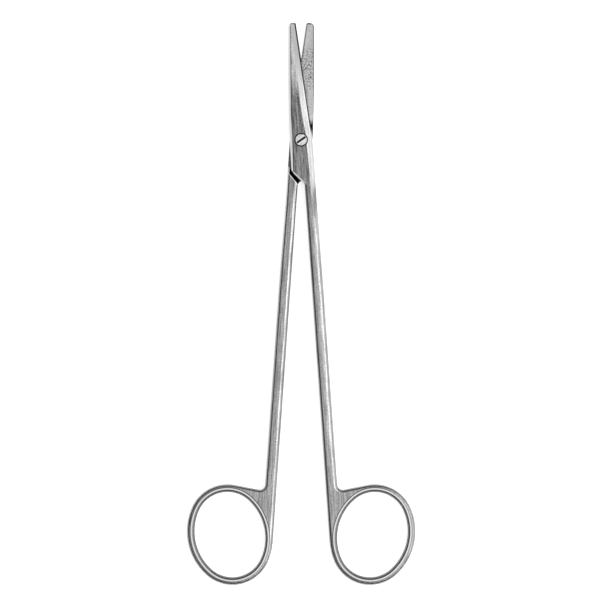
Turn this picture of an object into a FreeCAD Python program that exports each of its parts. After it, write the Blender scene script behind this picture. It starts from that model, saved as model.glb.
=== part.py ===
import FreeCAD, Part
import math
import os
import re
import Sketcher
from FreeCAD import Vector

# Dissecting scissors, millimetres. +Z is up with the screw head on top, the blade tips point along +Y,
# and the pivot axis is Z through the origin. Z = 0 is the flat underside of the joint.
# Each half is forged in one piece: blade, lap plate, shank and finger ring. A half is drawn closed, with
# its bearing face at z = 0, its blade and lap plate above, its back edge at -X and its shank at +X.

# Driving dimensions: alias, value, meaning.
dimensions = [
    ("tip_y", 37.3, "pivot to the end of the blade"),
    ("tip_back_x", 1.52, "back edge at the tip, from the pivot line"),
    ("tip_edge_x", 0.90, "cutting edge at the tip, from the pivot line"),
    ("tip_back_round", 1.3, "plan radius of the tip on the back side"),
    ("tip_edge_round", 0.6, "plan radius of the tip on the cutting side"),
    ("tip_thickness", 1.15, "blade thickness at the tip"),
    ("root_y", 8.0, "where the blade starts to thin and narrow"),
    ("root_back_x", 3.66, "back edge at the blade root"),
    ("root_round", 450.0, "gentle bend of the back edge at the root"),
    ("heel_x", 3.6, "side of the joint at the heel of the cutting edge"),
    ("heel_y", 2.3, "heel of the cutting edge"),
    ("heel_round", 100.0, "bend from the cutting edge to the side of the joint"),
    ("lap_back_x", 3.71, "back edge at the lap end"),
    ("lap_end_y", 9.95, "pivot to the outer corner of the lap end"),
    ("lap_end_angle", 47.4, "lean of the lap end and of the shoulder"),
    ("edge_break", 0.25, "small bevel along the lap end"),
    ("lap_gap", 0.03, "running clearance between the two bearing faces"),
    ("joint_half", 2.2, "thickness of one lap plate"),
    ("stop_gap", 0.2, "clearance between lap end and shoulder when closed"),
    ("closing_gap", 0.06, "from the centre line to the inner side of a shank"),
    ("web_x", 3.8, "outer side of the straight lower shank"),
    ("web_y", 112.1, "pivot to the crotch between shank and ring"),
    ("web_round", 1.8, "plan radius of that crotch"),
    ("taper_start_y", 19.0, "where the shank starts to thin below the joint"),
    ("taper_end_y", 48.0, "where the shank has its final thickness and width"),
    ("shank_half", 1.65, "half the thickness of shank and ring"),
    ("shank_round", 1.15, "edge radius of shank and ring outside"),
    ("ring_drop", 0.98, "crotch to the top of the finger opening, along the shank"),
    ("ring_long", 13.67, "long half axis of the finger opening"),
    ("ring_short", 11.13, "short half axis of the finger opening"),
    ("end_tightening", 1.22, "how much the radius of the two tight ends is under the short half axis"),
    ("ring_band", 2.45, "width of the ring band"),
    ("ring_lean", 16.0, "lean of the ring away from the shank"),
    ("ring_bevel", 0.8, "bevel along both edges of the finger opening"),
    ("bevel_width_tip", 1.7, "width of the long bevel at the tip"),
    ("bevel_land_tip", 0.45, "side height left by the bevel at the tip"),
    ("bevel_width", 2.1, "width of the bevel beside the joint"),
    ("bevel_land", 1.0, "side height left by the bevel beside the joint"),
    ("bevel_end_y", 34.0, "where the bevel has run out on the shank"),
    ("bevel_width_end", 0.9, "width of the bevel just before it runs out"),
    ("bevel_runout", 4.0, "length over which it then leaves the shank"),
    ("cutting_width_tip", 0.35, "width of the steep cutting bevel at the tip"),
    ("cutting_width", 0.15, "width of the cutting bevel at the heel"),
    ("back_bevel", 0.5, "bevel along the back edge"),
    ("hollow_depth", 0.12, "depth of the hollow grinding at the blade root"),
    ("hollow_depth_tip", 0.03, "depth of the hollow grinding near the tip"),
    ("hollow_margin", 0.6, "flat land left beside the hollow"),
    ("slot_turn", 34.7, "direction of the screw slot"),
    ("head_diameter", 3.85, "screw head"),
    ("head_height", 0.9, "screw head"),
    ("head_chamfer", 0.15, "screw head"),
    ("head_gap", 0.14, "ring-shaped gap round the screw head"),
    ("slot_width", 0.5, "screw slot"),
    ("slot_depth", 0.5, "screw slot"),
    ("pin_diameter", 2.6, "plain shank of the screw, which is the pivot"),
    ("pin_clearance", 0.04, "radial running clearance round the pivot"),
    ("seat_clearance", 0.02, "below the screw head"),
    ("thread_diameter", 2.2, "threaded end of the screw"),
    ("open_angle", 8.0, "angle between the halves as they lie"),
]

# Sizes that follow from these. The ring is an oval of four tangent arcs, so its band keeps one width.
derived = [
    ("lap_slope", "tan(lap_end_angle)", "fall of the lap end across the half"),
    ("end_round", "ring_short - end_tightening", "radius of the oval's two tight ends"),
    ("side_round", "(ring_long ^ 2 + ring_short ^ 2 - 2 * ring_long * end_round) / (2 * end_tightening)",
     "radius of the oval's two flat sides"),
    ("ring_y", "web_y + ring_drop + ring_long", "pivot to the ring centre"),
    ("ring_x", "closing_gap + side_round + ring_band - cos(ring_lean) * (side_round - ring_short)",
     "ring centre, where the band just touches the line of the shank's inner side"),
]

doc = FreeCAD.newDocument("dissecting_scissors")
sheet = doc.addObject("Spreadsheet::Sheet", "sizes")
for row, (alias, value, meaning) in enumerate(dimensions + derived, start=1):
    sheet.set(f"A{row}", meaning)
    sheet.set(f"B{row}", f"={value}")
    sheet.setAlias(f"B{row}", alias)
doc.recompute()
aliases = [alias for alias, value, meaning in dimensions + derived]


def cells(formula):
    """Turns a formula in plain size names into an expression on the sheet."""
    return re.sub(r"[a-z_]+", lambda word: f"sizes.{word[0]}" if word[0] in aliases else word[0], formula)


def number(formula):
    return float(doc.sizes.evalExpression(cells(formula)))


def add_body(label):
    body = doc.addObject("PartDesign::Body", label)
    body.Label = label
    return body


def sketch_on(body, name, role, lift="0"):
    """A sketch on one of the body's own origin planes, lifted along the plane's normal."""
    sketch = body.newObject("Sketcher::SketchObject", name)
    plane = next(item for item in body.Origin.OriginFeatures if item.Role == role)
    sketch.AttachmentSupport = [(plane, "")]
    sketch.MapMode = "FlatFace"
    sketch.setExpression("AttachmentOffset.Base.z", cells(lift))
    return sketch


def bind(sketch, kind, elements, formula):
    """Adds one size constraint and ties it to the sheet."""
    index = sketch.addConstraint(Sketcher.Constraint(kind, *elements, number(formula)))
    sketch.setExpression(f"Constraints[{index}]", cells(formula))


def pin_point(sketch, geometry, end, x, y):
    bind(sketch, "DistanceX", (-1, 1, geometry, end), x)
    bind(sketch, "DistanceY", (-1, 1, geometry, end), y)


def corner_trim(before, corner, after, radius):
    """Where a corner radius leaves the side before the corner and joins the side after it."""
    back = (before - corner).normalize()
    ahead = (after - corner).normalize()
    half = back.getAngle(ahead) / 2
    reach = radius / math.tan(half)
    centre = corner + (back + ahead).normalize() * (radius / math.sin(half))
    return corner + back * reach, corner + ahead * reach, centre


def draw_path(sketch, corners, closed=True):
    """Straight sides between corners (x, y, radius), each corner rounded by a tangent arc.

    An open path keeps its first and last corner as plain ends. Returns its first and last line.
    """
    count = len(corners)
    points = [Vector(number(x), number(y), 0) for x, y, radius in corners]
    rounded = [number(radius) > 0 for x, y, radius in corners]
    trims = []
    for i, (x, y, radius) in enumerate(corners):
        if rounded[i]:
            trims.append(corner_trim(points[i - 1], points[i], points[(i + 1) % count], number(radius)))
        else:
            trims.append((points[i], points[i], None))
    sides = count if closed else count - 1
    lines = []
    for i in range(sides):
        side = Part.LineSegment(trims[i][1], trims[(i + 1) % count][0])
        lines.append(sketch.addGeometry(side, False))
    for i, (x, y, radius) in enumerate(corners):
        if not closed and i in (0, count - 1):
            continue
        before, after = lines[i - 1], lines[i % sides]
        if not rounded[i]:
            sketch.addConstraint(Sketcher.Constraint("Coincident", before, 2, after, 1))
            pin_point(sketch, after, 1, x, y)
            continue
        entry, leave, centre = trims[i]
        middle = centre + (points[i] - centre).normalize() * number(radius)
        arc = sketch.addGeometry(Part.Arc(entry, middle, leave), False)
        clockwise = (entry - centre).cross(leave - centre).z < 0
        near, far = (2, 1) if clockwise else (1, 2)
        sketch.addConstraint(Sketcher.Constraint("Tangent", before, 2, arc, near))
        sketch.addConstraint(Sketcher.Constraint("Tangent", arc, far, after, 1))
        bind(sketch, "Radius", (arc,), radius)
        vertex = sketch.addGeometry(Part.Point(points[i]), True)
        pin_point(sketch, vertex, 1, x, y)
        sketch.addConstraint(Sketcher.Constraint("PointOnObject", vertex, 1, before))
        sketch.addConstraint(Sketcher.Constraint("PointOnObject", vertex, 1, after))
    return lines[0], lines[-1]


def add_pad(body, name, sketch, length, both_ways=False):
    pad = body.newObject("PartDesign::Pad", name)
    pad.Profile = sketch
    pad.SideType = "Symmetric" if both_ways else "One side"
    pad.setExpression("Length", cells(length))
    doc.recompute()
    return pad


def add_pocket(body, name, sketch, length, both_ways=False):
    """Cuts a sketch down from its plane, or both ways, and makes sure that it removes something."""
    solid_before = body.Shape.Volume
    pocket = body.newObject("PartDesign::Pocket", name)
    pocket.Profile = sketch
    pocket.SideType = "Symmetric" if both_ways else "One side"
    pocket.setExpression("Length", cells(length))
    doc.recompute()
    if not body.Shape.Volume < solid_before:
        raise ValueError(f"{body.Label}: {name} removed nothing")
    return pocket


def rim_edges(shape, wanted):
    """Names of the edges between an upright wall and a flat or gently sloping face."""
    names = []
    for index, edge in enumerate(shape.Edges, start=1):
        middle = edge.valueAt((edge.FirstParameter + edge.LastParameter) / 2)
        upright = []
        for face in shape.ancestorsOfType(edge, Part.Face):
            u, v = face.Surface.parameter(middle)
            upright.append(abs(face.normalAt(u, v).z) < 0.2)
        if sorted(upright) == [False, True] and wanted(middle):
            names.append(f"Edge{index}")
    return names


def round_edges(body, name, kind, size_name, formula, wanted):
    base = body.Tip
    feature = body.newObject(f"PartDesign::{kind}", name)
    feature.Refine = False
    feature.Base = (base, rim_edges(base.Shape, wanted))
    feature.setExpression(size_name, cells(formula))
    doc.recompute()
    return feature


# Length of a cut that goes both ways through everything.
through = "4 * joint_half"


# The lap end is a slanting line through its outer corner, and the shoulder runs parallel below it.
def lap_end(x):
    return f"(- lap_end_y - ({x} + lap_back_x) * lap_slope)"


def shoulder(x):
    return f"(- lap_end_y - (lap_back_x - ({x})) * lap_slope - stop_gap / cos(lap_end_angle))"


def oval_frame():
    """Ring centre, its long and short directions, and the centres of its four arcs."""
    lean = math.radians(number("ring_lean"))
    centre = Vector(number("ring_x"), -number("ring_y"), 0)
    along = Vector(math.sin(lean), math.cos(lean), 0)
    across = Vector(math.cos(lean), -math.sin(lean), 0)
    end = along * number("ring_long - end_round")
    side = across * number("side_round - ring_short")
    return {"top": centre + end, "right": centre - side, "bottom": centre - end, "left": centre + side}


def draw_oval(sketch, band, start=None, finish=None):
    """Four arcs clockwise from the top. With start and finish, the top left of the oval stays open."""
    centres = oval_frame()
    radii = {"top": f"end_round + {band}", "right": f"side_round + {band}"}
    radii.update(bottom=radii["top"], left=radii["right"])
    order = ["top", "right", "bottom", "left"]
    joints = {}
    for i, name in enumerate(order):
        following = order[(i + 1) % 4]
        outward = (centres[name] - centres[following]).normalize()
        if name in ("right", "left"):
            outward = -outward
        joints[name] = centres[name] + outward * number(radii[name])
    begins = {"top": start or joints["left"], "right": joints["top"],
              "bottom": joints["right"], "left": joints["bottom"]}
    ends = dict(joints, left=finish or joints["left"])
    arcs = {}
    for name in order:
        circle = Part.Circle(centres[name], Vector(0, 0, 1), number(radii[name]))
        arc = Part.ArcOfCircle(circle, circle.parameter(ends[name]), circle.parameter(begins[name]))
        arcs[name] = sketch.addGeometry(arc, False)
    for name, following in zip(order, order[1:]):
        sketch.addConstraint(Sketcher.Constraint("Tangent", arcs[name], 1, arcs[following], 2))
    long_line = sketch.addGeometry(Part.LineSegment(centres["bottom"], centres["top"]), True)
    sketch.addConstraint(Sketcher.Constraint("Coincident", long_line, 1, arcs["bottom"], 3))
    sketch.addConstraint(Sketcher.Constraint("Coincident", long_line, 2, arcs["top"], 3))
    bind(sketch, "Distance", (long_line,), "2 * (ring_long - end_round)")
    turn = "90 - ring_lean"
    index = sketch.addConstraint(Sketcher.Constraint("Angle", long_line, math.radians(number(turn))))
    sketch.setExpression(f"Constraints[{index}]", cells(turn))
    middle = sketch.addGeometry(Part.Point((centres["bottom"] + centres["top"]) / 2), True)
    sketch.addConstraint(Sketcher.Constraint("Symmetric", long_line, 1, long_line, 2, middle, 1))
    for name in ("top", "right", "bottom"):
        bind(sketch, "Radius", (arcs[name],), radii[name])
    bind(sketch, "DistanceY", (-1, 1, middle, 1), "- ring_y")
    if start is None:
        sketch.addConstraint(Sketcher.Constraint("Tangent", arcs["left"], 1, arcs["top"], 2))
        bind(sketch, "Radius", (arcs["left"],), radii["left"])
        bind(sketch, "DistanceX", (-1, 1, middle, 1), "ring_x")
    else:
        sketch.addConstraint(Sketcher.Constraint("Symmetric", arcs["left"], 3, arcs["right"], 3, middle, 1))
    return arcs


def draw_handle(sketch):
    """Lower shank and ring: up the inner side, down the outer side, crotch, round the ring."""
    centres = oval_frame()
    top_radius = number("end_round + ring_band")
    crotch = Vector(number("web_x"), -number("web_y"), 0) - centres["top"]
    top_turn = math.atan2(crotch.y, crotch.x) - math.acos(top_radius / crotch.Length)
    top = centres["top"] + Vector(math.cos(top_turn), math.sin(top_turn), 0) * top_radius
    inner = Vector(number("closing_gap"), centres["left"].y, 0)
    first, last = draw_path(sketch, [
        (str(inner.x), str(inner.y), "0"),
        ("closing_gap", "- taper_end_y", "0"),
        ("web_x", "- taper_end_y", "0"),
        ("web_x", "- web_y", "web_round"),
        (str(top.x), str(top.y), "0"),
    ], closed=False)
    arcs = draw_oval(sketch, "ring_band", start=top, finish=inner)
    sketch.addConstraint(Sketcher.Constraint("Vertical", first))
    sketch.addConstraint(Sketcher.Constraint("Tangent", arcs["left"], 1, first, 1))
    sketch.addConstraint(Sketcher.Constraint("Tangent", last, 2, arcs["top"], 2))


def in_opening(point):
    lean = math.radians(number("ring_lean"))
    x, y = point.x - number("ring_x"), point.y + number("ring_y")
    along = x * math.sin(lean) + y * math.cos(lean)
    across = y * math.sin(lean) - x * math.cos(lean)
    half_band = number("ring_band") / 2
    long_axis, short_axis = number("ring_long") + half_band, number("ring_short") + half_band
    return (along / long_axis) ** 2 + (across / short_axis) ** 2 < 1


def shank_section(body, name, y, side, half):
    """Cross-section of the upper shank at a distance y from the pivot."""
    sketch = sketch_on(body, name, "XZ_Plane", f"- ({y})")
    draw_path(sketch, [
        ("closing_gap", half, "shank_round"),
        (side, half, "shank_round"),
        (side, f"- {half}", "shank_round"),
        ("closing_gap", f"- {half}", "shank_round"),
    ])
    return sketch


def draw_shoulder_cut(sketch):
    """Everything between the shoulder and the pivot."""
    left, right = "(closing_gap - joint_half)", "(heel_x + joint_half)"
    draw_path(sketch, [
        (left, shoulder(left), "0"),
        (right, shoulder(right), "0"),
        (right, "0", "0"),
        (left, "0", "0"),
    ])


def on_lap_end(point):
    along = point.y - number(lap_end(f"({point.x})"))
    return point.x < 0 < point.z and abs(along) < number("stop_gap / 2")


def draw_blade(sketch):
    """Lap plate and blade: lap end, back edge, blunt tip, cutting edge, side of the joint."""
    draw_path(sketch, [
        ("- lap_back_x", "- lap_end_y", "0"),
        ("- root_back_x", "root_y", "root_round"),
        ("- tip_back_x", "tip_y", "tip_back_round"),
        ("tip_edge_x", "tip_y", "tip_edge_round"),
        ("heel_x", "heel_y", "heel_round"),
        ("heel_x", lap_end("heel_x"), "0"),
    ])


# Thickness of the blade at a distance y from the pivot, past its root.
def blade_top(y):
    return f"(joint_half - (joint_half - tip_thickness) * ({y} - root_y) / (tip_y - root_y))"


def draw_blade_thinning(sketch):
    beyond = "(tip_y + ring_band)"
    high = "(2 * joint_half)"
    draw_path(sketch, [
        ("0", "joint_half", "0"),
        ("0", high, "0"),
        (beyond, high, "0"),
        (beyond, blade_top(beyond), "0"),
        ("root_y", "joint_half", "heel_round"),
    ])


def bevel_section(body, name, y, edge_x, top, width, land):
    """Cross-section of what the bevel takes off: everything above a line from the side to the top."""
    sketch = sketch_on(body, name, "XZ_Plane", f"- ({y})")
    slope = f"(({top} - {land}) / {width})"
    draw_path(sketch, [
        (f"{edge_x} + {width}", f"{land} - ({top} - {land})", "0"),
        (f"{edge_x} + {width}", f"{top} + ({top} - {land})", "0"),
        (f"{edge_x} - 2 * {width}", f"{top} + ({top} - {land})", "0"),
    ])
    return sketch


def add_loft(body, name, sections):
    """Joins the sections by straight lines."""
    doc.recompute()
    loft = body.newObject("PartDesign::AdditiveLoft", name)
    loft.Profile = sections[0]
    loft.Sections = sections[1:]
    loft.Ruled = True
    doc.recompute()


def cut_loft(body, name, sections):
    """Cuts straight from section to section, and makes sure that it removes something."""
    doc.recompute()
    solid_before = body.Shape.Volume
    loft = body.newObject("PartDesign::SubtractiveLoft", name)
    loft.Profile = sections[0]
    loft.Sections = sections[1:]
    loft.Ruled = True
    doc.recompute()
    if not body.Shape.Volume < solid_before:
        raise ValueError(f"{body.Label}: {name} removed nothing")


# The long bevels start a little past the tip, on the line of the cutting edge.
past_tip = "(tip_y + ring_band)"
edge_past_tip = "(tip_edge_x - (heel_x - tip_edge_x) * ring_band / (tip_y - heel_y))"


def shank_bevel_section(body, name, y, width):
    """Section of the bevel on the tapering shank, where it lies at 45 degrees over the edge."""
    share = f"(({y} - taper_start_y) / (taper_end_y - taper_start_y))"
    top = f"(joint_half - (joint_half - shank_half) * {share})"
    side = f"(heel_x + (web_x - heel_x) * {share})"
    return bevel_section(body, name, f"- {y}", side, top, width, f"({top} - {width})")


def cut_bevel(body):
    """The long bevel that thins the blade and runs out along the outer side of the shank."""
    cut_loft(body, "bevel", [
        bevel_section(body, "bevel_at_tip", past_tip, edge_past_tip, blade_top(past_tip),
                      "bevel_width_tip", "bevel_land_tip"),
        bevel_section(body, "bevel_at_heel", "heel_y", "heel_x", "joint_half",
                      "bevel_width", "bevel_land"),
        shank_bevel_section(body, "bevel_before_end", "(bevel_end_y - bevel_runout)", "bevel_width_end"),
        shank_bevel_section(body, "bevel_at_end", "bevel_end_y", "edge_break"),
    ])


def cutting_section(body, name, y, edge_x, land, width):
    """Cross-section of the steep bevel from the long bevel down to the cutting edge."""
    sketch = sketch_on(body, name, "XZ_Plane", f"- ({y})")
    draw_path(sketch, [
        (f"{edge_x} + {width}", f"- {land}", "0"),
        (f"{edge_x} + {width}", f"2 * {land}", "0"),
        (f"{edge_x} - 2 * {width}", f"2 * {land}", "0"),
    ])
    return sketch


def cut_edge(body):
    """The steep cutting bevel along the whole edge, from the tip to the heel."""
    cut_loft(body, "cutting_bevel", [
        cutting_section(body, "cutting_at_tip", past_tip, edge_past_tip, "bevel_land_tip", "cutting_width_tip"),
        cutting_section(body, "cutting_at_heel", "heel_y", "heel_x", "bevel_land", "cutting_width"),
    ])


def on_back_edge(point):
    beside = point.x < -number("tip_back_x / 2") and point.y > -number("lap_end_y")
    return beside and point.z > number("tip_thickness / 2")


def hollow_section(body, name, y, depth):
    """Cross-section of the hollow ground into the inner face, between a land at each edge."""
    share = f"(({y} - root_y) / (tip_y - root_y))"
    back = f"(- root_back_x + (root_back_x - tip_back_x) * {share} + hollow_margin)"
    edge = f"(heel_x - (heel_x - tip_edge_x) * ({y} - heel_y) / (tip_y - heel_y) - hollow_margin)"
    half_width = f"(({edge} - {back}) / 2)"
    below = "(- hollow_margin)"
    # At a share of one half the arc alone would span the hollow from land to land.
    arc_share = 0.4
    sketch = sketch_on(body, name, "XZ_Plane", f"- ({y})")
    draw_path(sketch, [
        (back, "lap_gap / 2", "0"),
        (f"({back} + {edge}) / 2", f"lap_gap / 2 + 2 * {depth}", f"{arc_share} * {half_width} ^ 2 / {depth}"),
        (edge, "lap_gap / 2", "0"),
        (edge, below, "0"),
        (back, below, "0"),
    ])
    return sketch


def cut_hollow(body):
    """Hollow grinding, deepest at the root, so that the blades touch only along their edges."""
    cut_loft(body, "hollow", [
        hollow_section(body, "hollow_at_root", "root_y", "hollow_depth"),
        hollow_section(body, "hollow_at_tip", "(tip_y - 2 * tip_back_round)", "hollow_depth_tip"),
    ])


def draw_circle(sketch, diameter):
    circle = sketch.addGeometry(Part.Circle(Vector(0, 0, 0), Vector(0, 0, 1), number(diameter) / 2), False)
    sketch.addConstraint(Sketcher.Constraint("Coincident", circle, 3, -1, 1))
    bind(sketch, "Diameter", (circle,), diameter)


def make_half(label):
    """One forged half without its screw hole."""
    body = add_body(label)
    outline = sketch_on(body, "handle_outline", "XY_Plane")
    draw_handle(outline)
    add_pad(body, "handle", outline, "2 * shank_half", both_ways=True)
    opening = sketch_on(body, "opening_outline", "XY_Plane")
    draw_oval(opening, "0")
    add_pocket(body, "finger_opening", opening, through, both_ways=True)
    round_edges(body, "rounded_outside", "Fillet", "Radius", "shank_round",
                lambda point: point.y < -number("taper_end_y + edge_break") and not in_opening(point))
    round_edges(body, "opening_bevel", "Chamfer", "Size", "ring_bevel", in_opening)
    taper_end = shank_section(body, "taper_end", "- taper_end_y", "web_x", "shank_half")
    taper_start = shank_section(body, "taper_start", "- taper_start_y", "heel_x", "joint_half")
    add_loft(body, "taper", [taper_end, taper_start])
    block_top = shank_section(body, "block_top", "- lap_end_y", "heel_x", "joint_half")
    add_pad(body, "joint_block", block_top, "taper_start_y - lap_end_y")
    shoulder_cut = sketch_on(body, "shoulder_outline", "XY_Plane")
    draw_shoulder_cut(shoulder_cut)
    add_pocket(body, "shoulder", shoulder_cut, through, both_ways=True)
    blade_outline = sketch_on(body, "blade_outline", "XY_Plane", "lap_gap / 2")
    draw_blade(blade_outline)
    add_pad(body, "blade", blade_outline, "joint_half - lap_gap / 2")
    blade_thinning = sketch_on(body, "blade_thinning_outline", "YZ_Plane")
    draw_blade_thinning(blade_thinning)
    add_pocket(body, "blade_thinning", blade_thinning, through, both_ways=True)
    cut_bevel(body)
    cut_edge(body)
    round_edges(body, "back_bevel", "Chamfer", "Size", "back_bevel", on_back_edge)
    round_edges(body, "lap_end_break", "Chamfer", "Size", "edge_break", on_lap_end)
    cut_hollow(body)
    return body


def cut_hole(body, name, diameter, depth):
    """A round hole on the pivot axis, cut down from the outer face of the lap plate."""
    sketch = sketch_on(body, f"{name}_outline", "XY_Plane", "joint_half")
    draw_circle(sketch, diameter)
    add_pocket(body, name, sketch, depth)


def make_screw():
    """Slotted pivot screw: head in its seat, plain shank as the pivot, threaded end in the rear half."""
    body = add_body("pivot_screw")
    profile = sketch_on(body, "screw_profile", "XZ_Plane")
    seat = "joint_half - head_height"
    draw_path(profile, [
        ("0", "joint_half", "0"),
        ("head_diameter / 2 - head_chamfer", "joint_half", "0"),
        ("head_diameter / 2", "joint_half - head_chamfer", "0"),
        ("head_diameter / 2", seat, "0"),
        ("pin_diameter / 2", seat, "0"),
        ("pin_diameter / 2", "- lap_gap / 2", "0"),
        ("thread_diameter / 2", "- lap_gap / 2", "0"),
        ("thread_diameter / 2", "- joint_half", "0"),
        ("0", "- joint_half", "0"),
    ])
    turned = body.newObject("PartDesign::Revolution", "turned")
    turned.Profile = profile
    turned.ReferenceAxis = (profile, ["V_Axis"])
    turned.Angle = 360
    doc.recompute()
    slot = sketch_on(body, "slot_outline", "XY_Plane", "joint_half")
    draw_path(slot, [
        ("- head_diameter", "- slot_width / 2", "0"),
        ("head_diameter", "- slot_width / 2", "0"),
        ("head_diameter", "slot_width / 2", "0"),
        ("- head_diameter", "slot_width / 2", "0"),
    ])
    add_pocket(body, "slot", slot, "slot_depth")
    return body


front = make_half("front_half")
cut_hole(front, "screw_seat", "head_diameter + 2 * head_gap", "head_height + seat_clearance")
cut_hole(front, "pivot_bore", "pin_diameter + 2 * pin_clearance", "joint_half")
rear = make_half("rear_half")
cut_hole(rear, "thread_hole", "thread_diameter", "joint_half")
screw = make_screw()

# The front half turns anticlockwise from closed by half the opening. The rear half is the same forging
# turned over, a half turn about a line in the bearing plane, and stands clockwise by the other half.
for body, angle, axis_x, axis_y, axis_z in [
    (front, "open_angle / 2", "0", "0", "1"),
    (rear, "180", "sin(open_angle / 4)", "cos(open_angle / 4)", "0"),
    (screw, "slot_turn", "0", "0", "1"),
]:
    body.setExpression("Placement.Base.z", cells("joint_half"))
    body.setExpression("Placement.Rotation.Axis.x", cells(axis_x))
    body.setExpression("Placement.Rotation.Axis.y", cells(axis_y))
    body.setExpression("Placement.Rotation.Axis.z", cells(axis_z))
    body.setExpression("Placement.Rotation.Angle", cells(angle))
doc.recompute()

for item in doc.Objects:
    if "Invalid" in item.State or "Error" in item.State:
        raise ValueError(f"{item.Name} failed: {item.State}")

os.makedirs("parts", exist_ok=True)
for body in (front, rear, screw):
    shape = body.Shape
    if shape.isNull() or not shape.isValid() or len(shape.Solids) != 1:
        raise ValueError(f"{body.Label} is not one sound solid")
    shape.exportStep(f"parts/{body.Label}.step")
    box = shape.BoundBox
    print(f"{body.Label}: {shape.Volume:.1f} cubic mm, X {box.XMin:.2f} to {box.XMax:.2f}, "
          f"Y {box.YMin:.2f} to {box.YMax:.2f}, Z {box.ZMin:.2f} to {box.ZMax:.2f}")
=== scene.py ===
import bpy, math
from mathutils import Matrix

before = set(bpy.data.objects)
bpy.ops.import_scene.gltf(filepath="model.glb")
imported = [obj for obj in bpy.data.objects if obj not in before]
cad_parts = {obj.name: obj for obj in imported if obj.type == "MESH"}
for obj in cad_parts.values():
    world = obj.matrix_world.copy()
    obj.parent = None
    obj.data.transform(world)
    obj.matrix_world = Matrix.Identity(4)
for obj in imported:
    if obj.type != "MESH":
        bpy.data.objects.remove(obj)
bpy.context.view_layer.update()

mm = 0.001


def steelColour(hexText):
    # sRGB hex to the linear colour that a shader socket takes
    channels = [int(hexText[i:i + 2], 16) / 255 for i in (1, 3, 5)]
    linear = [c / 12.92 if c <= 0.04045 else ((c + 0.055) / 1.055) ** 2.4 for c in channels]
    return (*linear, 1.0)


def addNode(tree, kind, sockets=None, **settings):
    # one node, its settings, and what goes into its sockets: a plain value, another node or one of its outputs
    node = tree.nodes.new(kind)
    for name, value in settings.items():
        setattr(node, name, value)
    for key, value in (sockets or {}).items():
        if isinstance(value, bpy.types.Node):
            value = next(output for output in value.outputs if output.enabled)
        if isinstance(value, bpy.types.NodeSocket):
            tree.links.new(value, node.inputs[key])
        else:
            node.inputs[key].default_value = value
    return node


def newMaterial(name):
    material = bpy.data.materials.new(name)
    material.use_nodes = True
    material.node_tree.nodes.clear()
    return material, material.node_tree


# sizes in millimetres, in a half's own frame: pivot at 0, blade along +Y, shank and ring on the +X side
halfShape = {
    "openAngle": 8.0,          # in degrees, between the halves as they lie
    "bearingHeight": 2.2,      # of the plane where the halves meet
    "ringY": -126.75,          # middle of the finger opening, along the half
    "closingGap": 0.06,        # from the pivot line to the inner side of the shank
    "ringLean": 16.0,          # in degrees
    "openingLong": 13.67,      # half of its length
    "openingShort": 11.13,     # and of its width
    "openingTightening": 1.22,  # how much the radius of its tight ends is under its short half
    "openingBevel": 0.8,
    "ringBand": 2.45,          # from the opening to the outer side of the ring
    "backEdge": 3.71,          # back edge at the lap end, from the pivot line
    "rootBack": (3.66, 8.0),   # back edge at the blade root
    "tipBack": (1.52, 37.3),
    "heelEdge": (3.6, 2.3),    # cutting edge at its heel
    "tipEdge": (0.9, 37.3),
    "lapEndY": -9.95,          # outer corner of the lap end
    "lapEndLean": 47.4,        # in degrees
    "stopGap": 0.2,            # between the lap end and the shoulder
}

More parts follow.
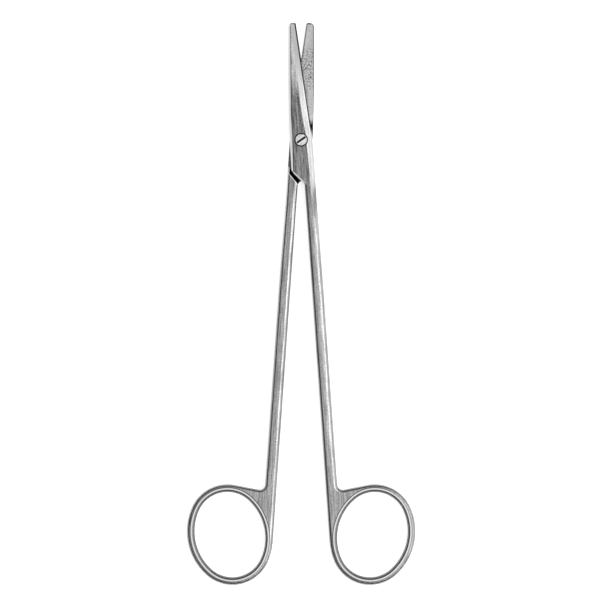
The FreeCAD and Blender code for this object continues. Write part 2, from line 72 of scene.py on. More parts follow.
# most pairs are the two values between which a finish comes or goes
groundSteel = {
    "shankPale": "#FAFAFA",    # along the crest of a grinding mark
    "shankDeep": "#A6A6A6",    # in its trough
    "jointPale": "#D6D6D6",    # the joint faces are painted greyer, a painted shade for how they reflect
    "jointDeep": "#606060",
    "bevelPale": "#CECECE",    # the blade's bevels are painted darker than the flats, a painted shade; the marks are the grind
    "bevelDeep": "#A8A8A8",
    "tipBevel": "#989898",     # and painted darker still towards the tip
    "edgePale": "#B4B4B4",     # the broken edges of shank and ring are painted darker, a painted shade
    "edgeDeep": "#888888",
    "innerPale": "#FAFAFA",    # inner faces of the blades, which are matt and slightly pitted
    "innerDeep": "#6C6C6C",    # in a pit
    "landHighlight": "#FFFFFF",         # painted highlight on narrow lands and broken edges
    # painted highlight along the blade's back
    "backHighlight": "#E2E2E2",
    "backBevel": "#C2C2C2",
    "innerRim": "#A0A0A0",     # thin worn line round the inner face
    "line": "#3A3A3A",         # painted shade: a dark line beside the painted highlights
    # painted shade: a dark line round the painted highlight of the finger opening
    "webLine": "#787878",
    "bore": "#7E7E7E",         # painted shade on the bevel inside the finger opening
    "side": "#ACACAC",         # upright sides are painted darker, a painted shade
    "cutBevelShade": "#060606",        # painted shade on the steep cutting bevel
    "bearingShade": "#707070",        # painted shade on the bearing face that shows beside the joint
    "recessShade": "#050505",       # painted shade in corners and round the screw
    "innerShadeNearJoint": "#1A1A1A",    # painted shadow on the inner face near the joint
    "tipRim": "#6A6A6A",       # painted shade: a thin dark line round the blunt tips
    "roughness": 0.22,
    "edgeRoughness": 0.34,     # broken edges are less even
    "innerRoughness": 0.5,
    "highlightMetal": 0.15,         # the painted highlights are less metallic, so they show white
    "markWidth": 0.34,         # drawn coarser than the real 0.05 mm belt marks, so that they show
    "markLength": 8.0,
    "markDepth": 0.004,
    "markStrength": 0.6,
    "markWaver": 0.65,         # how ragged the marks are
    "markContrast": (0.38, 0.62),
    "grit": 0.45,              # coarser than the real 0.1 mm pits, so that it shows
    "gritWaver": 0.6,
    "gritShare": 0.3,
    "noiseDetail": 3.0,
    "flatLevel": (0.93, 0.985),    # flats lie more level than this, and bevels less
    "sideLevel": (0.5, 0.2),
    "steepLevel": (0.62, 0.68),    # the cutting bevel is steeper than this
    "brokenLevel": (0.8, 0.74),    # broken edges are steeper than the long bevel
    "faceHeight": (0.1, 0.14),     # the inner face lies lower than this, from the bearing plane
    "innerFrom": (-1.0, 1.0),      # and starts here, along the half
    "shoulderHeight": (0.0, -1.0),     # the shoulder stands past the bearing plane, beside the other half
    "jointFrom": (-24.0, -10.0),   # the painted shade of the joint fades in and out between these
    "jointTo": (13.0, 22.0),
    "dullTip": (12.0, 28.0),       # the bevels are painted darker in between
    "edgesFrom": (-26.0, -38.0),   # the long bevel passes into the broken edges of the shank
    "crownFrom": (-11.0, -18.0),   # the shank's crown begins and ends in between
    "crownTo": (-106.0, -98.0),
    "crown": 0.035,            # fall of the crowned shank face, per square millimetre from its middle
    "shankMiddle": 1.62,
    "leanFrom": (10.0, 22.0),      # the blade's lean begins in between
    "bladeLean": 0.1,          # the blade's outer face falls this much per millimetre towards its edge
    "bladeCrown": 0.02,
    "innerShadeTo": (7.0, 5.0),    # the inner face is painted dark, a painted shadow, up to here near the joint
    "seatRadius": 2.16,        # of the screw's seat, just past its head
    "cornerDeep": 1.8,         # how far the painted shade of the corner reaches past the shoulder
    "cornerEnd": 3.0,          # and how far out from the pivot line
    "brokenEdge": 0.3,         # painted highlight along the shoulder
    "landWidths": (0.4, 0.96, 0.52),   # of the painted highlight along the back: at the lap end, root and tip
    "landWidest": 2.0,         # where it has grown to its widest, along the half
    "backSteep": 0.3,          # the back bevel is rubbed steeper towards the edge
    "backSide": (1.5, 1.0),    # the back bevel lies short of this, across the half
    "lapSide": (0.2, 0.0),     # and so does the painted highlight of the lap end
    "bladeFrom": (-0.5, -0.4),     # just behind the lap end
    "pitted": (15.0, 19.0, 28.0, 31.0),    # the inner face is pitted most between the middle two
    "pitContrast": (0.54, 0.36),
    "fewPits": 0.3,
    "rimWidth": 0.3,           # of the worn line round the inner face
    "rimFades": (2.0, 1.5),    # it is gone at this many widths, along the back and along the edge
    "cutShadeFrom": (0.0, 4.0),   # the painted shade of the cutting bevel begins in between, along the half
    "cutShadeWidth": 0.5,
    "edgeLand": 0.8,           # painted highlight beside the cutting bevel, from the edge
    "edgeLandTo": (14.0, 19.0),
    "tipRimFrom": (36.75, 36.95),  # the painted shade round the tip
    "lapLand": 0.62,           # painted highlight along the lap end
    "lineWidth": 0.3,          # of the painted dark lines beside the painted highlights
    "lineFades": (14.0, 26.0),     # the line along the back is fainter towards the tip
    "tipLineShare": 0.6,
    "ringLand": 0.45,          # of the painted highlight round the finger opening
    "boreRound": 0.8,          # how far the bevel of the opening is rounded over
    "sharpFade": 0.02,         # over how much finishes pass into each other: at the shoulder and the screw
    "crispFade": 0.05,         # beside the painted shade of the cutting bevel
    "lineFade": 0.06,          # along the lines and their lands
    "landFade": 0.08,          # beside the land of the cutting edge
    "wideFade": 0.1,           # and where two surfaces meet
}


def distanceFromOpening(tree, own):
    # how far out from the finger opening, an oval of four arcs
    endRound = halfShape["openingShort"] - halfShape["openingTightening"]
    sideRound = ((halfShape["openingLong"] ** 2 + halfShape["openingShort"] ** 2
                  - 2 * halfShape["openingLong"] * endRound) / (2 * halfShape["openingTightening"]))
    sideCentre = sideRound - halfShape["openingShort"]
    endCentre = halfShape["openingLong"] - endRound
    ringX = (halfShape["closingGap"] + sideRound + halfShape["ringBand"]
             - math.cos(math.radians(halfShape["ringLean"])) * sideCentre)
    aboutRing = addNode(tree, "ShaderNodeVectorMath", {
        0: own, 1: (-ringX, -halfShape["ringY"], 0)}, operation="ADD")
    leaned = addNode(tree, "ShaderNodeVectorRotate", {
        "Vector": aboutRing, "Angle": math.radians(halfShape["ringLean"])}, rotation_type="Z_AXIS")
    flatRing = addNode(tree, "ShaderNodeVectorMath", {0: leaned, 1: (1, 1, 0)}, operation="MULTIPLY")
    quarter = addNode(tree, "ShaderNodeVectorMath", {0: flatRing}, operation="ABSOLUTE")
    toSide = addNode(tree, "ShaderNodeVectorMath", {0: quarter, 1: (-sideCentre, 0, 0)}, operation="DISTANCE")
    toEnd = addNode(tree, "ShaderNodeVectorMath", {0: quarter, 1: (0, endCentre, 0)}, operation="DISTANCE")
    across = addNode(tree, "ShaderNodeSeparateXYZ", {"Vector": quarter})
    # past the line through both centres, the tight end arc takes over from the side arc
    overLine = addNode(tree, "ShaderNodeMath", {
        0: across.outputs["X"], 1: -endCentre / sideCentre, 2: across.outputs["Y"]}, operation="MULTIPLY_ADD")
    inEnd = addNode(tree, "ShaderNodeMath", {0: overLine, 1: endCentre}, operation="GREATER_THAN")
    pastSide = addNode(tree, "ShaderNodeMath", {0: toSide, 1: sideRound}, operation="SUBTRACT")
    pastEnd = addNode(tree, "ShaderNodeMath", {0: toEnd, 1: endRound}, operation="SUBTRACT")
    return addNode(tree, "ShaderNodeMix", {"Factor": inEnd, "A": pastSide, "B": pastEnd}, data_type="FLOAT")


def rubbedSurface(tree, x, y, fromBack, fromOpening, backBevel, marks):
    # the shank faces are crowned, so they catch the light from the side along one edge
    offMiddle = addNode(tree, "ShaderNodeMath", {0: x, 1: groundSteel["shankMiddle"]}, operation="SUBTRACT")
    squared = addNode(tree, "ShaderNodeMath", {0: offMiddle, 1: offMiddle}, operation="MULTIPLY")
    beforeRing = addNode(tree, "ShaderNodeMapRange", {
        "Value": y, "From Min": groundSteel["crownTo"][0], "From Max": groundSteel["crownTo"][1],
        "To Max": -groundSteel["crown"]})
    crowning = addNode(tree, "ShaderNodeMapRange", {
        "Value": y, "From Min": groundSteel["crownFrom"][0], "From Max": groundSteel["crownFrom"][1],
        "To Max": beforeRing})
    shankFall = addNode(tree, "ShaderNodeMath", {0: squared, 1: crowning}, operation="MULTIPLY")
    # the blade leans towards its edge, and more so near it
    steeper = addNode(tree, "ShaderNodeMath", {
        0: x, 1: -groundSteel["bladeCrown"], 2: -groundSteel["bladeLean"]}, operation="MULTIPLY_ADD")
    leaning = addNode(tree, "ShaderNodeMath", {0: x, 1: steeper}, operation="MULTIPLY")
    pastJoint = addNode(tree, "ShaderNodeMapRange", {
        "Value": y, "From Min": groundSteel["leanFrom"][0], "From Max": groundSteel["leanFrom"][1]})
    bladeFall = addNode(tree, "ShaderNodeMath", {0: leaning, 1: pastJoint}, operation="MULTIPLY")
    # the back bevel is rubbed steeper, and the bevel of the finger opening is rubbed round
    rubbed = addNode(tree, "ShaderNodeMath", {0: fromBack, 1: groundSteel["backSteep"]}, operation="MULTIPLY")
    backFall = addNode(tree, "ShaderNodeMath", {0: rubbed, 1: backBevel}, operation="MULTIPLY")
    bevel = halfShape["openingBevel"]
    overBevel = addNode(tree, "ShaderNodeMapRange", {"Value": fromOpening, "From Max": bevel})
    toBore = addNode(tree, "ShaderNodeMapRange", {
        "Value": fromOpening, "From Min": bevel, "From Max": 0.0, "To Max": groundSteel["boreRound"]})
    boreFall = addNode(tree, "ShaderNodeMath", {0: overBevel, 1: toBore}, operation="MULTIPLY")
    swell = shankFall
    for part in (bladeFall, backFall, boreFall):
        swell = addNode(tree, "ShaderNodeMath", {0: swell, 1: part}, operation="ADD")
    crowned = addNode(tree, "ShaderNodeBump", {"Strength": 1.0, "Distance": mm, "Height": swell})
    return addNode(tree, "ShaderNodeBump", {
        "Strength": groundSteel["markStrength"], "Distance": groundSteel["markDepth"] * mm,
        "Height": marks.outputs["Fac"], "Normal": crowned})


def makeGroundSteel(name, turnedOver):
    # hardened stainless steel, belt-ground lengthwise to a satin: streaky flats, bright bevels and dark sides,
    # with painted highlights and painted shade
    material, tree = newMaterial(name)
    side = -1 if turnedOver else 1
    place = addNode(tree, "ShaderNodeTexCoord")
    # the half's own frame in millimetres, the same numbers for both halves
    own = addNode(tree, "ShaderNodeMapping", {
        "Vector": place.outputs["Object"],
        "Location": (0, 0, -side * halfShape["bearingHeight"]),
        "Rotation": (0, 0, math.radians(-halfShape["openAngle"] / 2)),
        "Scale": (side / mm, 1 / mm, side / mm),
    })
    split = addNode(tree, "ShaderNodeSeparateXYZ", {"Vector": own})
    x, y, z = split.outputs["X"], split.outputs["Y"], split.outputs["Z"]

    # how level the surface lies: 1 on the flats, 0.6 to 0.9 on the bevels, 0 on the upright sides
    facing = addNode(tree, "ShaderNodeNewGeometry")
    upright = addNode(tree, "ShaderNodeSeparateXYZ", {"Vector": facing.outputs["Normal"]})
    level = addNode(tree, "ShaderNodeMath", {0: upright.outputs["Z"]}, operation="ABSOLUTE")
    onFlat = addNode(tree, "ShaderNodeMapRange", {
        "Value": level, "From Min": groundSteel["flatLevel"][0], "From Max": groundSteel["flatLevel"][1]})
    # the upright sides take a painted shade
    onSide = addNode(tree, "ShaderNodeMapRange", {
        "Value": level, "From Min": groundSteel["sideLevel"][0], "From Max": groundSteel["sideLevel"][1]})

    fromOpening = distanceFromOpening(tree, own)

    # distance in from the back edge, and from the cutting edge
    rootX, rootY = halfShape["rootBack"]
    tipX, tipY = halfShape["tipBack"]
    backX = addNode(tree, "ShaderNodeMapRange", {
        "Value": y, "From Min": rootY, "From Max": tipY, "To Min": rootX, "To Max": tipX})
    fromBack = addNode(tree, "ShaderNodeMath", {0: x, 1: backX}, operation="ADD")
    heelX, heelY = halfShape["heelEdge"]
    pointX, pointY = halfShape["tipEdge"]
    edgeX = addNode(tree, "ShaderNodeMapRange", {
        "Value": y, "From Min": heelY, "From Max": pointY, "To Min": heelX, "To Max": pointX})
    fromEdge = addNode(tree, "ShaderNodeMath", {0: edgeX, 1: x}, operation="SUBTRACT")

    # the blade above the bearing face, and its inner face
    faceTop, bladeBottom = groundSteel["faceHeight"]
    bearing = addNode(tree, "ShaderNodeMapRange", {"Value": z, "From Min": bladeBottom, "From Max": faceTop})
    above = addNode(tree, "ShaderNodeMapRange", {"Value": z, "From Min": faceTop, "From Max": bladeBottom})
    onInner = addNode(tree, "ShaderNodeMapRange", {
        "Value": y, "From Min": groundSteel["innerFrom"][0], "From Max": groundSteel["innerFrom"][1],
        "To Max": bearing})
    slope = math.tan(math.radians(halfShape["lapEndLean"]))
    alongLap = addNode(tree, "ShaderNodeMath", {
        0: y, 1: halfShape["backEdge"] * slope - halfShape["lapEndY"]}, operation="ADD")
    pastLap = addNode(tree, "ShaderNodeMath", {0: x, 1: slope, 2: alongLap}, operation="MULTIPLY_ADD")
    blade = addNode(tree, "ShaderNodeMapRange", {
        "Value": pastLap, "From Min": groundSteel["bladeFrom"][0], "From Max": groundSteel["bladeFrom"][1],
        "To Max": above})

    # grinding marks: thin across the half and long along it
    lengthwise = addNode(tree, "ShaderNodeVectorMath", {
        0: own,
        1: (1 / groundSteel["markWidth"], 1 / groundSteel["markLength"], 1 / groundSteel["markWidth"]),
    }, operation="MULTIPLY")
    marks = addNode(tree, "ShaderNodeTexNoise", {
        "Vector": lengthwise, "Scale": 1.0, "Detail": groundSteel["noiseDetail"],
        "Roughness": groundSteel["markWaver"]})
    grit = addNode(tree, "ShaderNodeTexNoise", {
        "Vector": own, "Scale": 1 / groundSteel["grit"], "Detail": groundSteel["noiseDetail"],
        "Roughness": groundSteel["gritWaver"]})
    mixed = addNode(tree, "ShaderNodeMix", {
        "Factor": groundSteel["gritShare"], "A": marks.outputs["Fac"], "B": grit.outputs["Fac"],
    }, data_type="FLOAT")
    streak = addNode(tree, "ShaderNodeMapRange", {
        "Value": mixed, "From Min": groundSteel["markContrast"][0], "From Max": groundSteel["markContrast"][1]})
    firstPits, pitsGrown, pitsThin, pitsEnd = groundSteel["pitted"]
    lastPits = addNode(tree, "ShaderNodeMapRange", {
        "Value": y, "From Min": pitsEnd, "From Max": pitsThin, "To Min": groundSteel["fewPits"]})
    pitDepth = addNode(tree, "ShaderNodeMapRange", {
        "Value": y, "From Min": firstPits, "From Max": pitsGrown,
        "To Min": groundSteel["fewPits"], "To Max": lastPits})
    pits = addNode(tree, "ShaderNodeMapRange", {
        "Value": grit.outputs["Fac"],
        "From Min": groundSteel["pitContrast"][0], "From Max": groundSteel["pitContrast"][1],
        "To Max": pitDepth})

    # flats: painted greyer on the joint, a painted shade, lighter on the shank and the blade; the bevels are
    # painted darker than the flats, a painted shade, and darker still towards the tip
    outOfJoint = addNode(tree, "ShaderNodeMapRange", {
        "Value": y, "From Min": groundSteel["jointTo"][1], "From Max": groundSteel["jointTo"][0]})
    onJoint = addNode(tree, "ShaderNodeMapRange", {
        "Value": y, "From Min": groundSteel["jointFrom"][0], "From Max": groundSteel["jointFrom"][1],
        "To Max": outOfJoint})
    pale = addNode(tree, "ShaderNodeMix", {
        "Factor": onJoint, 6: steelColour(groundSteel["shankPale"]), 7: steelColour(groundSteel["jointPale"]),
    }, data_type="RGBA")
    deep = addNode(tree, "ShaderNodeMix", {
        "Factor": onJoint, 6: steelColour(groundSteel["shankDeep"]), 7: steelColour(groundSteel["jointDeep"]),
    }, data_type="RGBA")
    flats = addNode(tree, "ShaderNodeMix", {"Factor": streak, 6: deep, 7: pale}, data_type="RGBA")
    bladeBevels = addNode(tree, "ShaderNodeMix", {
        "Factor": streak, 6: steelColour(groundSteel["bevelDeep"]), 7: steelColour(groundSteel["bevelPale"]),
    }, data_type="RGBA")
    towardsTip = addNode(tree, "ShaderNodeMapRange", {
        "Value": y, "From Min": groundSteel["dullTip"][0], "From Max": groundSteel["dullTip"][1]})
    bladeBevels = addNode(tree, "ShaderNodeMix", {
        "Factor": towardsTip, 6: bladeBevels, 7: steelColour(groundSteel["tipBevel"])}, data_type="RGBA")
    shankEdges = addNode(tree, "ShaderNodeMix", {
        "Factor": streak, 6: steelColour(groundSteel["edgeDeep"]), 7: steelColour(groundSteel["edgePale"]),
    }, data_type="RGBA")
    behindJoint = addNode(tree, "ShaderNodeMapRange", {
        "Value": y, "From Min": groundSteel["edgesFrom"][0], "From Max": groundSteel["edgesFrom"][1]})
    bevels = addNode(tree, "ShaderNodeMix", {
        "Factor": behindJoint, 6: bladeBevels, 7: shankEdges}, data_type="RGBA")
    pitted = addNode(tree, "ShaderNodeMix", {
        "Factor": pits, 6: steelColour(groundSteel["innerPale"]), 7: steelColour(groundSteel["innerDeep"]),
    }, data_type="RGBA")
    ground = addNode(tree, "ShaderNodeMix", {"Factor": onFlat, 6: bevels, 7: flats}, data_type="RGBA")
    colour = addNode(tree, "ShaderNodeMix", {"Factor": onInner, 6: ground, 7: pitted}, data_type="RGBA")

    # round the finger opening: painted shade on its bevel, a painted highlight and a thin line of painted shade
    bevel = halfShape["openingBevel"]
    lineWidth, soft, wide = groundSteel["lineWidth"], groundSteel["lineFade"], groundSteel["wideFade"]
    inBore = addNode(tree, "ShaderNodeMapRange", {
        "Value": fromOpening, "From Min": bevel, "From Max": bevel - wide})
    landEnd = bevel + groundSteel["ringLand"]
    beforeLandEnd = addNode(tree, "ShaderNodeMapRange", {
        "Value": fromOpening, "From Min": landEnd + soft, "From Max": landEnd - soft, "To Max": onFlat})
    openingLand = addNode(tree, "ShaderNodeMapRange", {
        "Value": fromOpening, "From Min": bevel - soft, "From Max": bevel + soft, "To Max": beforeLandEnd})
    lineEnd = landEnd + lineWidth
    beforeLineEnd = addNode(tree, "ShaderNodeMapRange", {
        "Value": fromOpening, "From Min": lineEnd + soft, "From Max": lineEnd - soft, "To Max": onFlat})
    webLine = addNode(tree, "ShaderNodeMapRange", {
        "Value": fromOpening, "From Min": landEnd - soft, "From Max": landEnd + soft, "To Max": beforeLineEnd})

    # along the blade's back: a painted highlight and a thin line of painted shade
    lapLandWidth, rootLandWidth, tipLandWidth = groundSteel["landWidths"]
    widening = addNode(tree, "ShaderNodeMapRange", {
        "Value": y, "From Min": halfShape["lapEndY"], "From Max": groundSteel["landWidest"],
        "To Min": lapLandWidth, "To Max": rootLandWidth})
    narrowing = addNode(tree, "ShaderNodeMapRange", {
        "Value": y, "From Min": rootY, "From Max": tipY, "To Min": rootLandWidth, "To Max": tipLandWidth})
    landTo = addNode(tree, "ShaderNodeMath", {0: widening, 1: narrowing}, operation="MINIMUM")
    pastLand = addNode(tree, "ShaderNodeMath", {0: fromBack, 1: landTo}, operation="SUBTRACT")
    onTop = addNode(tree, "ShaderNodeMath", {0: blade, 1: onFlat}, operation="MULTIPLY")
    backHighlight = addNode(tree, "ShaderNodeMapRange", {
        "Value": pastLand, "From Min": soft, "From Max": -soft, "To Max": onTop})
    beforeBackLine = addNode(tree, "ShaderNodeMapRange", {
        "Value": pastLand, "From Min": lineWidth + soft, "From Max": lineWidth - soft, "To Max": onTop})
    backLine = addNode(tree, "ShaderNodeMapRange", {
        "Value": pastLand, "From Min": -soft, "From Max": soft, "To Max": beforeBackLine})
    fainter = addNode(tree, "ShaderNodeMapRange", {
        "Value": y, "From Min": groundSteel["lineFades"][0], "From Max": groundSteel["lineFades"][1],
        "To Min": 1.0, "To Max": groundSteel["tipLineShare"]})
    backLine = addNode(tree, "ShaderNodeMath", {0: backLine, 1: fainter}, operation="MULTIPLY")
    # beside them the back bevel, and the painted highlight along the lap end
    notSteep = addNode(tree, "ShaderNodeMapRange", {
        "Value": level, "From Min": groundSteel["steepLevel"][0], "From Max": groundSteel["steepLevel"][1],
        "To Max": blade})
    brokenEdge = addNode(tree, "ShaderNodeMapRange", {
        "Value": level, "From Min": groundSteel["brokenLevel"][0], "From Max": groundSteel["brokenLevel"][1],
        "To Max": notSteep})
    sideBevel = addNode(tree, "ShaderNodeMapRange", {
        "Value": x, "From Min": groundSteel["backSide"][0], "From Max": groundSteel["backSide"][1],
        "To Max": brokenEdge})
    lapLandEnd = groundSteel["lapLand"]
    backBevel = addNode(tree, "ShaderNodeMapRange", {
        "Value": pastLap, "From Min": lapLandEnd, "From Max": lapLandEnd + wide, "To Max": sideBevel})
    backHalf = addNode(tree, "ShaderNodeMapRange", {
        "Value": x, "From Min": groundSteel["lapSide"][0], "From Max": groundSteel["lapSide"][1],
        "To Max": notSteep})
    lapLand = addNode(tree, "ShaderNodeMapRange", {
        "Value": pastLap, "From Min": lapLandEnd + wide, "From Max": lapLandEnd, "To Max": backHalf})

    # the cutting edge: painted shade on its steep bevel, and a painted highlight beside it
    onBlade = addNode(tree, "ShaderNodeMapRange", {
        "Value": y, "From Min": groundSteel["cutShadeFrom"][0], "From Max": groundSteel["cutShadeFrom"][1],
        "To Max": above})
    cutBevelShade = addNode(tree, "ShaderNodeMapRange", {
        "Value": fromEdge, "From Min": groundSteel["cutShadeWidth"] + groundSteel["crispFade"],
        "From Max": groundSteel["cutShadeWidth"], "To Max": onBlade})
    besideCutBevel = addNode(tree, "ShaderNodeMapRange", {
        "Value": fromEdge, "From Min": groundSteel["edgeLand"] + groundSteel["landFade"],
        "From Max": groundSteel["edgeLand"] - groundSteel["landFade"], "To Max": onBlade})
    edgeLand = addNode(tree, "ShaderNodeMapRange", {
        "Value": y, "From Min": groundSteel["edgeLandTo"][1], "From Max": groundSteel["edgeLandTo"][0],
        "To Max": besideCutBevel})
    # thin rims round the tip, a painted shade, and round the inner face, which is painted dark near the joint
    # as a painted shadow
    tipRim = addNode(tree, "ShaderNodeMapRange", {
        "Value": y, "From Min": groundSteel["tipRimFrom"][0], "From Max": groundSteel["tipRimFrom"][1]})
    rimWidth = groundSteel["rimWidth"]
    rimBack = addNode(tree, "ShaderNodeMapRange", {
        "Value": fromBack, "From Min": groundSteel["rimFades"][0] * rimWidth, "From Max": rimWidth,
        "To Max": onInner})
    rimEdge = addNode(tree, "ShaderNodeMapRange", {
        "Value": fromEdge, "From Min": groundSteel["rimFades"][1] * rimWidth, "From Max": rimWidth,
        "To Max": onInner})
    innerRim = addNode(tree, "ShaderNodeMath", {0: rimBack, 1: rimEdge}, operation="MAXIMUM")
    innerShadeNearJoint = addNode(tree, "ShaderNodeMapRange", {
        "Value": y, "From Min": groundSteel["innerShadeTo"][0], "From Max": groundSteel["innerShadeTo"][1],
        "To Max": onInner})

    # painted shade in the corner under the shoulder and on the bearing face there, and a painted highlight on
    # the broken edge beside it
    start = (halfShape["lapEndY"] - halfShape["backEdge"] * slope
             - halfShape["stopGap"] / math.cos(math.radians(halfShape["lapEndLean"])))
    alongShoulder = addNode(tree, "ShaderNodeMath", {0: y, 1: start}, operation="SUBTRACT")
    past = addNode(tree, "ShaderNodeMath", {0: x, 1: -slope, 2: alongShoulder}, operation="MULTIPLY_ADD")
    behind = addNode(tree, "ShaderNodeMapRange", {
        "Value": y, "From Min": groundSteel["innerFrom"][1], "From Max": groundSteel["innerFrom"][0],
        "To Max": bearing})
    onBearingShade = addNode(tree, "ShaderNodeMapRange", {
        "Value": past, "From Min": -groundSteel["crispFade"], "From Max": groundSteel["crispFade"],
        "To Max": behind})
    cornerDeep, cornerEnd = groundSteel["cornerDeep"], groundSteel["cornerEnd"]
    near = addNode(tree, "ShaderNodeMapRange", {
        "Value": past, "From Min": cornerDeep + wide, "From Max": cornerDeep, "To Max": onBearingShade})
    cornerShade = addNode(tree, "ShaderNodeMapRange", {
        "Value": x, "From Min": cornerEnd + wide, "From Max": cornerEnd, "To Max": near})
    cornerLand = addNode(tree, "ShaderNodeMapRange", {
        "Value": x, "From Min": cornerEnd, "From Max": cornerEnd + wide, "To Max": near})
    below = addNode(tree, "ShaderNodeMapRange", {
        "Value": z,
        "From Min": groundSteel["shoulderHeight"][0], "From Max": groundSteel["shoulderHeight"][1]})
    beforeShoulder = addNode(tree, "ShaderNodeMapRange", {
        "Value": past, "From Min": groundSteel["sharpFade"], "From Max": -groundSteel["sharpFade"],
        "To Max": below})
    shoulderLand = addNode(tree, "ShaderNodeMapRange", {
        "Value": past, "From Min": -groundSteel["brokenEdge"] - wide, "From Max": -groundSteel["brokenEdge"],
        "To Max": beforeShoulder})

    # painted shade in the narrow gap round the screw head
    flatPlace = addNode(tree, "ShaderNodeVectorMath", {0: own, 1: (1, 1, 0)}, operation="MULTIPLY")
    radius = addNode(tree, "ShaderNodeVectorMath", {0: flatPlace}, operation="LENGTH")
    inSeat = addNode(tree, "ShaderNodeMapRange", {
        "Value": radius, "From Min": groundSteel["seatRadius"] + groundSteel["sharpFade"],
        "From Max": groundSteel["seatRadius"] - groundSteel["sharpFade"]})

    # the painted highlights are one share, and each finish, painted highlight and painted shade then lies over
    # the ones before it
    landHighlight = cornerLand
    for share in (shoulderLand, openingLand, edgeLand, lapLand):
        landHighlight = addNode(tree, "ShaderNodeMath", {0: landHighlight, 1: share}, operation="MAXIMUM")
    for share, over in (
        (inBore, "bore"), (webLine, "webLine"), (backLine, "line"), (backHighlight, "backHighlight"),
        (backBevel, "backBevel"), (innerRim, "innerRim"), (tipRim, "tipRim"), (innerShadeNearJoint, "innerShadeNearJoint"),
        (onBearingShade, "bearingShade"), (cornerShade, "recessShade"), (landHighlight, "landHighlight"), (onSide, "side"), (cutBevelShade, "cutBevelShade"),
        (inSeat, "recessShade"),
    ):
        colour = addNode(tree, "ShaderNodeMix", {
            "Factor": share, 6: colour, 7: steelColour(groundSteel[over])}, data_type="RGBA")

    # broken edges and the inner faces are duller than the ground flats, and the painted highlights are made
    # less metallic so they show white
    onEdge = addNode(tree, "ShaderNodeMapRange", {
        "Value": level, "From Min": groundSteel["flatLevel"][1], "From Max": groundSteel["flatLevel"][0],
        "To Max": behindJoint})
    uneven = addNode(tree, "ShaderNodeMapRange", {
        "Value": onEdge, "To Min": groundSteel["roughness"], "To Max": groundSteel["edgeRoughness"]})
    duller = addNode(tree, "ShaderNodeMix", {
        "Factor": onInner, "A": uneven, "B": groundSteel["innerRoughness"]}, data_type="FLOAT")
    highlightShare = addNode(tree, "ShaderNodeMath", {0: landHighlight, 1: backHighlight}, operation="MAXIMUM")
    metal = addNode(tree, "ShaderNodeMapRange", {
        "Value": highlightShare, "To Min": 1.0, "To Max": groundSteel["highlightMetal"]})
    relief = rubbedSurface(tree, x, y, fromBack, fromOpening, backBevel, marks)
    steel = addNode(tree, "ShaderNodeBsdfPrincipled", {
        "Base Color": colour, "Metallic": metal, "Roughness": duller, "Normal": relief})
    addNode(tree, "ShaderNodeOutputMaterial", {"Surface": steel})
    return material


for label, turnedOver in (("front", False), ("rear", True)):
    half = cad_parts[f"{label}_half"]
    half.material_slots[0].material = makeGroundSteel(f"satinGroundStainless_{label}", turnedOver)
print("halves: satin ground stainless steel")

screwHead = {
    "face": "#FFFFFF",
    "shade": "#9A9A9A",        # in the troughs of its grain
    # painted shade in the slot and on the rim
    "slot": "#020202",
    "roughness": 0.4,
    "metallic": 0.1,           # a frosted face scatters light, and it is made nearly non-metallic so it shows white, partly a painted highlight
    "slotTurn": 34.7,
    "slotHalf": 0.36,          # the painted shade reaches a little past the lips of the slot
    "slotEnd": 1.64,           # the painted shade stops short of the ends of the slot
    "rim": 1.76,               # painted shade on the bevelled rim
    "slotHighlight": 0.62,        # painted highlight beside the slot
    "markWidth": 0.2,          # drawn coarser than the real 0.05 mm grain
    "markLength": 2.5,
    "markDetail": 3.0,
    "markContrast": (0.38, 0.5),
    "lipFade": 0.2,            # how softly the bright edge, the slot's ends, its sides and the rim begin
    "endFade": 0.05,
    "slotFade": 0.02,
    "rimFade": 0.06,
}


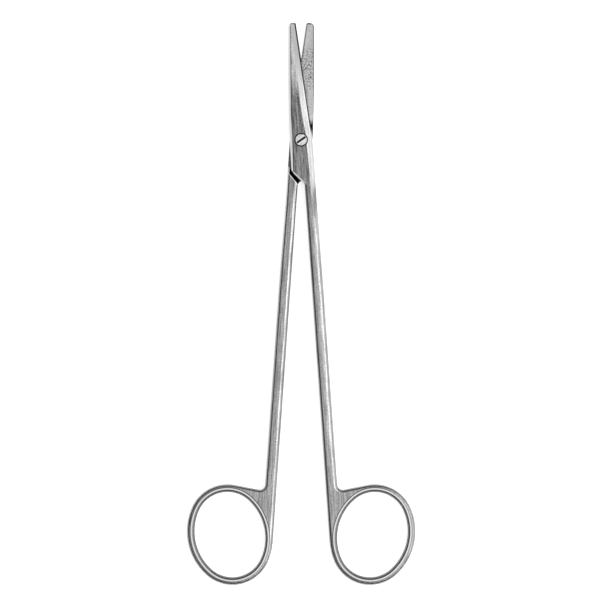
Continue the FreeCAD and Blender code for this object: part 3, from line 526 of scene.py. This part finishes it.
def makeTurnedSteel(name):
    # turned and frosted stainless steel: a pale matt head, partly a painted highlight, and painted shade in the
    # slot and on the rim
    material, tree = newMaterial(name)
    place = addNode(tree, "ShaderNodeTexCoord")
    inMm = addNode(tree, "ShaderNodeVectorMath", {
        0: place.outputs["Object"], 1: (1 / mm,) * 3}, operation="MULTIPLY")
    turned = addNode(tree, "ShaderNodeVectorRotate", {
        "Vector": inMm, "Angle": math.radians(-screwHead["slotTurn"])}, rotation_type="Z_AXIS")
    split = addNode(tree, "ShaderNodeSeparateXYZ", {"Vector": turned})
    flat = addNode(tree, "ShaderNodeVectorMath", {0: inMm, 1: (1, 1, 0)}, operation="MULTIPLY")
    radius = addNode(tree, "ShaderNodeVectorMath", {0: flat}, operation="LENGTH")
    aside = addNode(tree, "ShaderNodeMath", {0: split.outputs["Y"]}, operation="ABSOLUTE")
    lengthwise = addNode(tree, "ShaderNodeVectorMath", {
        0: turned, 1: (1 / screwHead["markLength"], 1 / screwHead["markWidth"], 1 / screwHead["markWidth"]),
    }, operation="MULTIPLY")
    marks = addNode(tree, "ShaderNodeTexNoise", {
        "Vector": lengthwise, "Scale": 1.0, "Detail": screwHead["markDetail"]})
    crest = addNode(tree, "ShaderNodeMapRange", {
        "Value": marks.outputs["Fac"],
        "From Min": screwHead["markContrast"][0], "From Max": screwHead["markContrast"][1]})
    # painted highlight beside the slot
    lip = addNode(tree, "ShaderNodeMapRange", {
        "Value": aside, "From Min": screwHead["slotHighlight"] + screwHead["lipFade"],
        "From Max": screwHead["slotHighlight"]})
    bright = addNode(tree, "ShaderNodeMath", {0: crest, 1: lip}, operation="MAXIMUM")
    face = addNode(tree, "ShaderNodeMix", {
        "Factor": bright, 6: steelColour(screwHead["shade"]), 7: steelColour(screwHead["face"]),
    }, data_type="RGBA")
    # painted shade in the slot and on its bevelled rim
    beforeEnd = addNode(tree, "ShaderNodeMapRange", {
        "Value": radius, "From Min": screwHead["slotEnd"] + screwHead["endFade"],
        "From Max": screwHead["slotEnd"] - screwHead["endFade"]})
    slot = addNode(tree, "ShaderNodeMapRange", {
        "Value": aside, "From Min": screwHead["slotHalf"] + screwHead["slotFade"],
        "From Max": screwHead["slotHalf"] - screwHead["slotFade"], "To Max": beforeEnd})
    rim = addNode(tree, "ShaderNodeMapRange", {
        "Value": radius, "From Min": screwHead["rim"], "From Max": screwHead["rim"] + screwHead["rimFade"]})
    slotAndRimShade = addNode(tree, "ShaderNodeMath", {0: slot, 1: rim}, operation="MAXIMUM")
    colour = addNode(tree, "ShaderNodeMix", {
        "Factor": slotAndRimShade, 6: face, 7: steelColour(screwHead["slot"])}, data_type="RGBA")
    steel = addNode(tree, "ShaderNodeBsdfPrincipled", {
        "Base Color": colour, "Metallic": screwHead["metallic"], "Roughness": screwHead["roughness"]})
    addNode(tree, "ShaderNodeOutputMaterial", {"Surface": steel})
    return material


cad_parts["pivot_screw"].material_slots[0].material = makeTurnedSteel("turnedStainless")
print("screw: turned stainless steel")

# the photographer's table, in metres
studio = {
    "floorHalf": 6.0,
    "floorHeight": -0.05 * mm,     # just below the object, which lies on it
    "floorColour": "#F2F2F2",
    "floorGlow": 0.7,          # so the paper shows white, and keeps the object's shadow
    "skyColour": "#FFFFFF",
    "skyStrength": 0.45,
    "wallSteps": 72,
    "wallRadius": 1.0,
    "wallBottom": 0.12,
    "wallTop": 0.95,
    "wallTopRight": 0.2,
    "wallColour": "#3C3C3C",
    "wallFrom": 40,            # degrees round from +X: the wall is low towards the right
    "wallTo": 320,
    "keyPower": 34.0,
    "keySize": 3.0,            # a large soft lamp
    "keyPlace": (1.45, -0.2, 1.55),    # above, and well to the right
}


def makeMesh(name, corners, faces):
    mesh = bpy.data.meshes.new(name)
    mesh.from_pydata(corners, [], faces)
    thing = bpy.data.objects.new(name, mesh)
    bpy.context.scene.collection.objects.link(thing)
    return thing


reach, height = studio["floorHalf"], studio["floorHeight"]
floor = makeMesh("floor", [(-reach, -reach, height), (reach, -reach, height),
                           (reach, reach, height), (-reach, reach, height)], [(0, 1, 2, 3)])
# matt white paper, lit from behind, so it is an even white without grain
paper, tree = newMaterial("whitePaper")
rays = addNode(tree, "ShaderNodeLightPath")
seen = addNode(tree, "ShaderNodeMath", {
    0: rays.outputs["Is Camera Ray"], 1: rays.outputs["Is Glossy Ray"]}, operation="MAXIMUM")
seen = addNode(tree, "ShaderNodeMath", {0: seen, 1: rays.outputs["Is Transmission Ray"]}, operation="MAXIMUM")
glow = addNode(tree, "ShaderNodeMath", {0: seen, 1: studio["floorGlow"]}, operation="MULTIPLY")
matt = addNode(tree, "ShaderNodeBsdfDiffuse", {"Color": steelColour(studio["floorColour"])})
lit = addNode(tree, "ShaderNodeEmission", {"Strength": glow})
both = addNode(tree, "ShaderNodeAddShader", {0: matt, 1: lit})
addNode(tree, "ShaderNodeOutputMaterial", {"Surface": both})
floor.data.materials.append(paper)

# a ring of dark matt card out of the camera's sight, which steep faces mirror as dark edges
corners, faces = [], []
for i in range(studio["wallSteps"] + 1):
    degrees = 360 * i / studio["wallSteps"]
    turn = math.radians(degrees)
    px, py = studio["wallRadius"] * math.cos(turn), studio["wallRadius"] * math.sin(turn)
    high = studio["wallFrom"] <= degrees <= studio["wallTo"]
    corners += [(px, py, studio["wallBottom"]), (px, py, studio["wallTop" if high else "wallTopRight"])]
    if i:
        faces.append((2 * i - 2, 2 * i, 2 * i + 1, 2 * i - 1))
wall = makeMesh("darkWall", corners, faces)
card, tree = newMaterial("darkCard")
dull = addNode(tree, "ShaderNodeBsdfDiffuse", {"Color": steelColour(studio["wallColour"])})
addNode(tree, "ShaderNodeOutputMaterial", {"Surface": dull})
wall.data.materials.append(card)
wall.visible_camera = False
wall.visible_diffuse = False
wall.visible_shadow = False

world = bpy.data.worlds.new("studio")
bpy.context.scene.world = world
world.use_nodes = True
sky = world.node_tree.nodes["Background"]
sky.inputs["Color"].default_value = steelColour(studio["skyColour"])
sky.inputs["Strength"].default_value = studio["skyStrength"]

keyLight = bpy.data.lights.new("key", "AREA")
keyLight.size = studio["keySize"]
keyLight.energy = studio["keyPower"]
key = bpy.data.objects.new("key", keyLight)
bpy.context.scene.collection.objects.link(key)
key.location = studio["keyPlace"]
key.rotation_mode = "QUATERNION"
key.rotation_quaternion = (-key.location).to_track_quat("-Z", "Y")
key.visible_camera = False

# the photograph is taken from straight above with a long lens
view = {
    "centre": (-0.38 * mm, -50.88 * mm),
    "width": 190.8 * mm,
    "distance": 1.5,
    "sensor": 36.0,
    "reach": 20.0,             # how far it sees
}
cameraData = bpy.data.cameras.new("camera")
cameraData.sensor_width = view["sensor"]
cameraData.lens = view["sensor"] * view["distance"] / view["width"]
cameraData.clip_end = view["reach"]
camera = bpy.data.objects.new("camera", cameraData)
bpy.context.scene.collection.objects.link(camera)
camera.location = (*view["centre"], view["distance"] + halfShape["bearingHeight"] * mm)
bpy.context.scene.camera = camera
bpy.context.scene.view_settings.view_transform = "Standard"
print("floor, walls, light and camera are set")
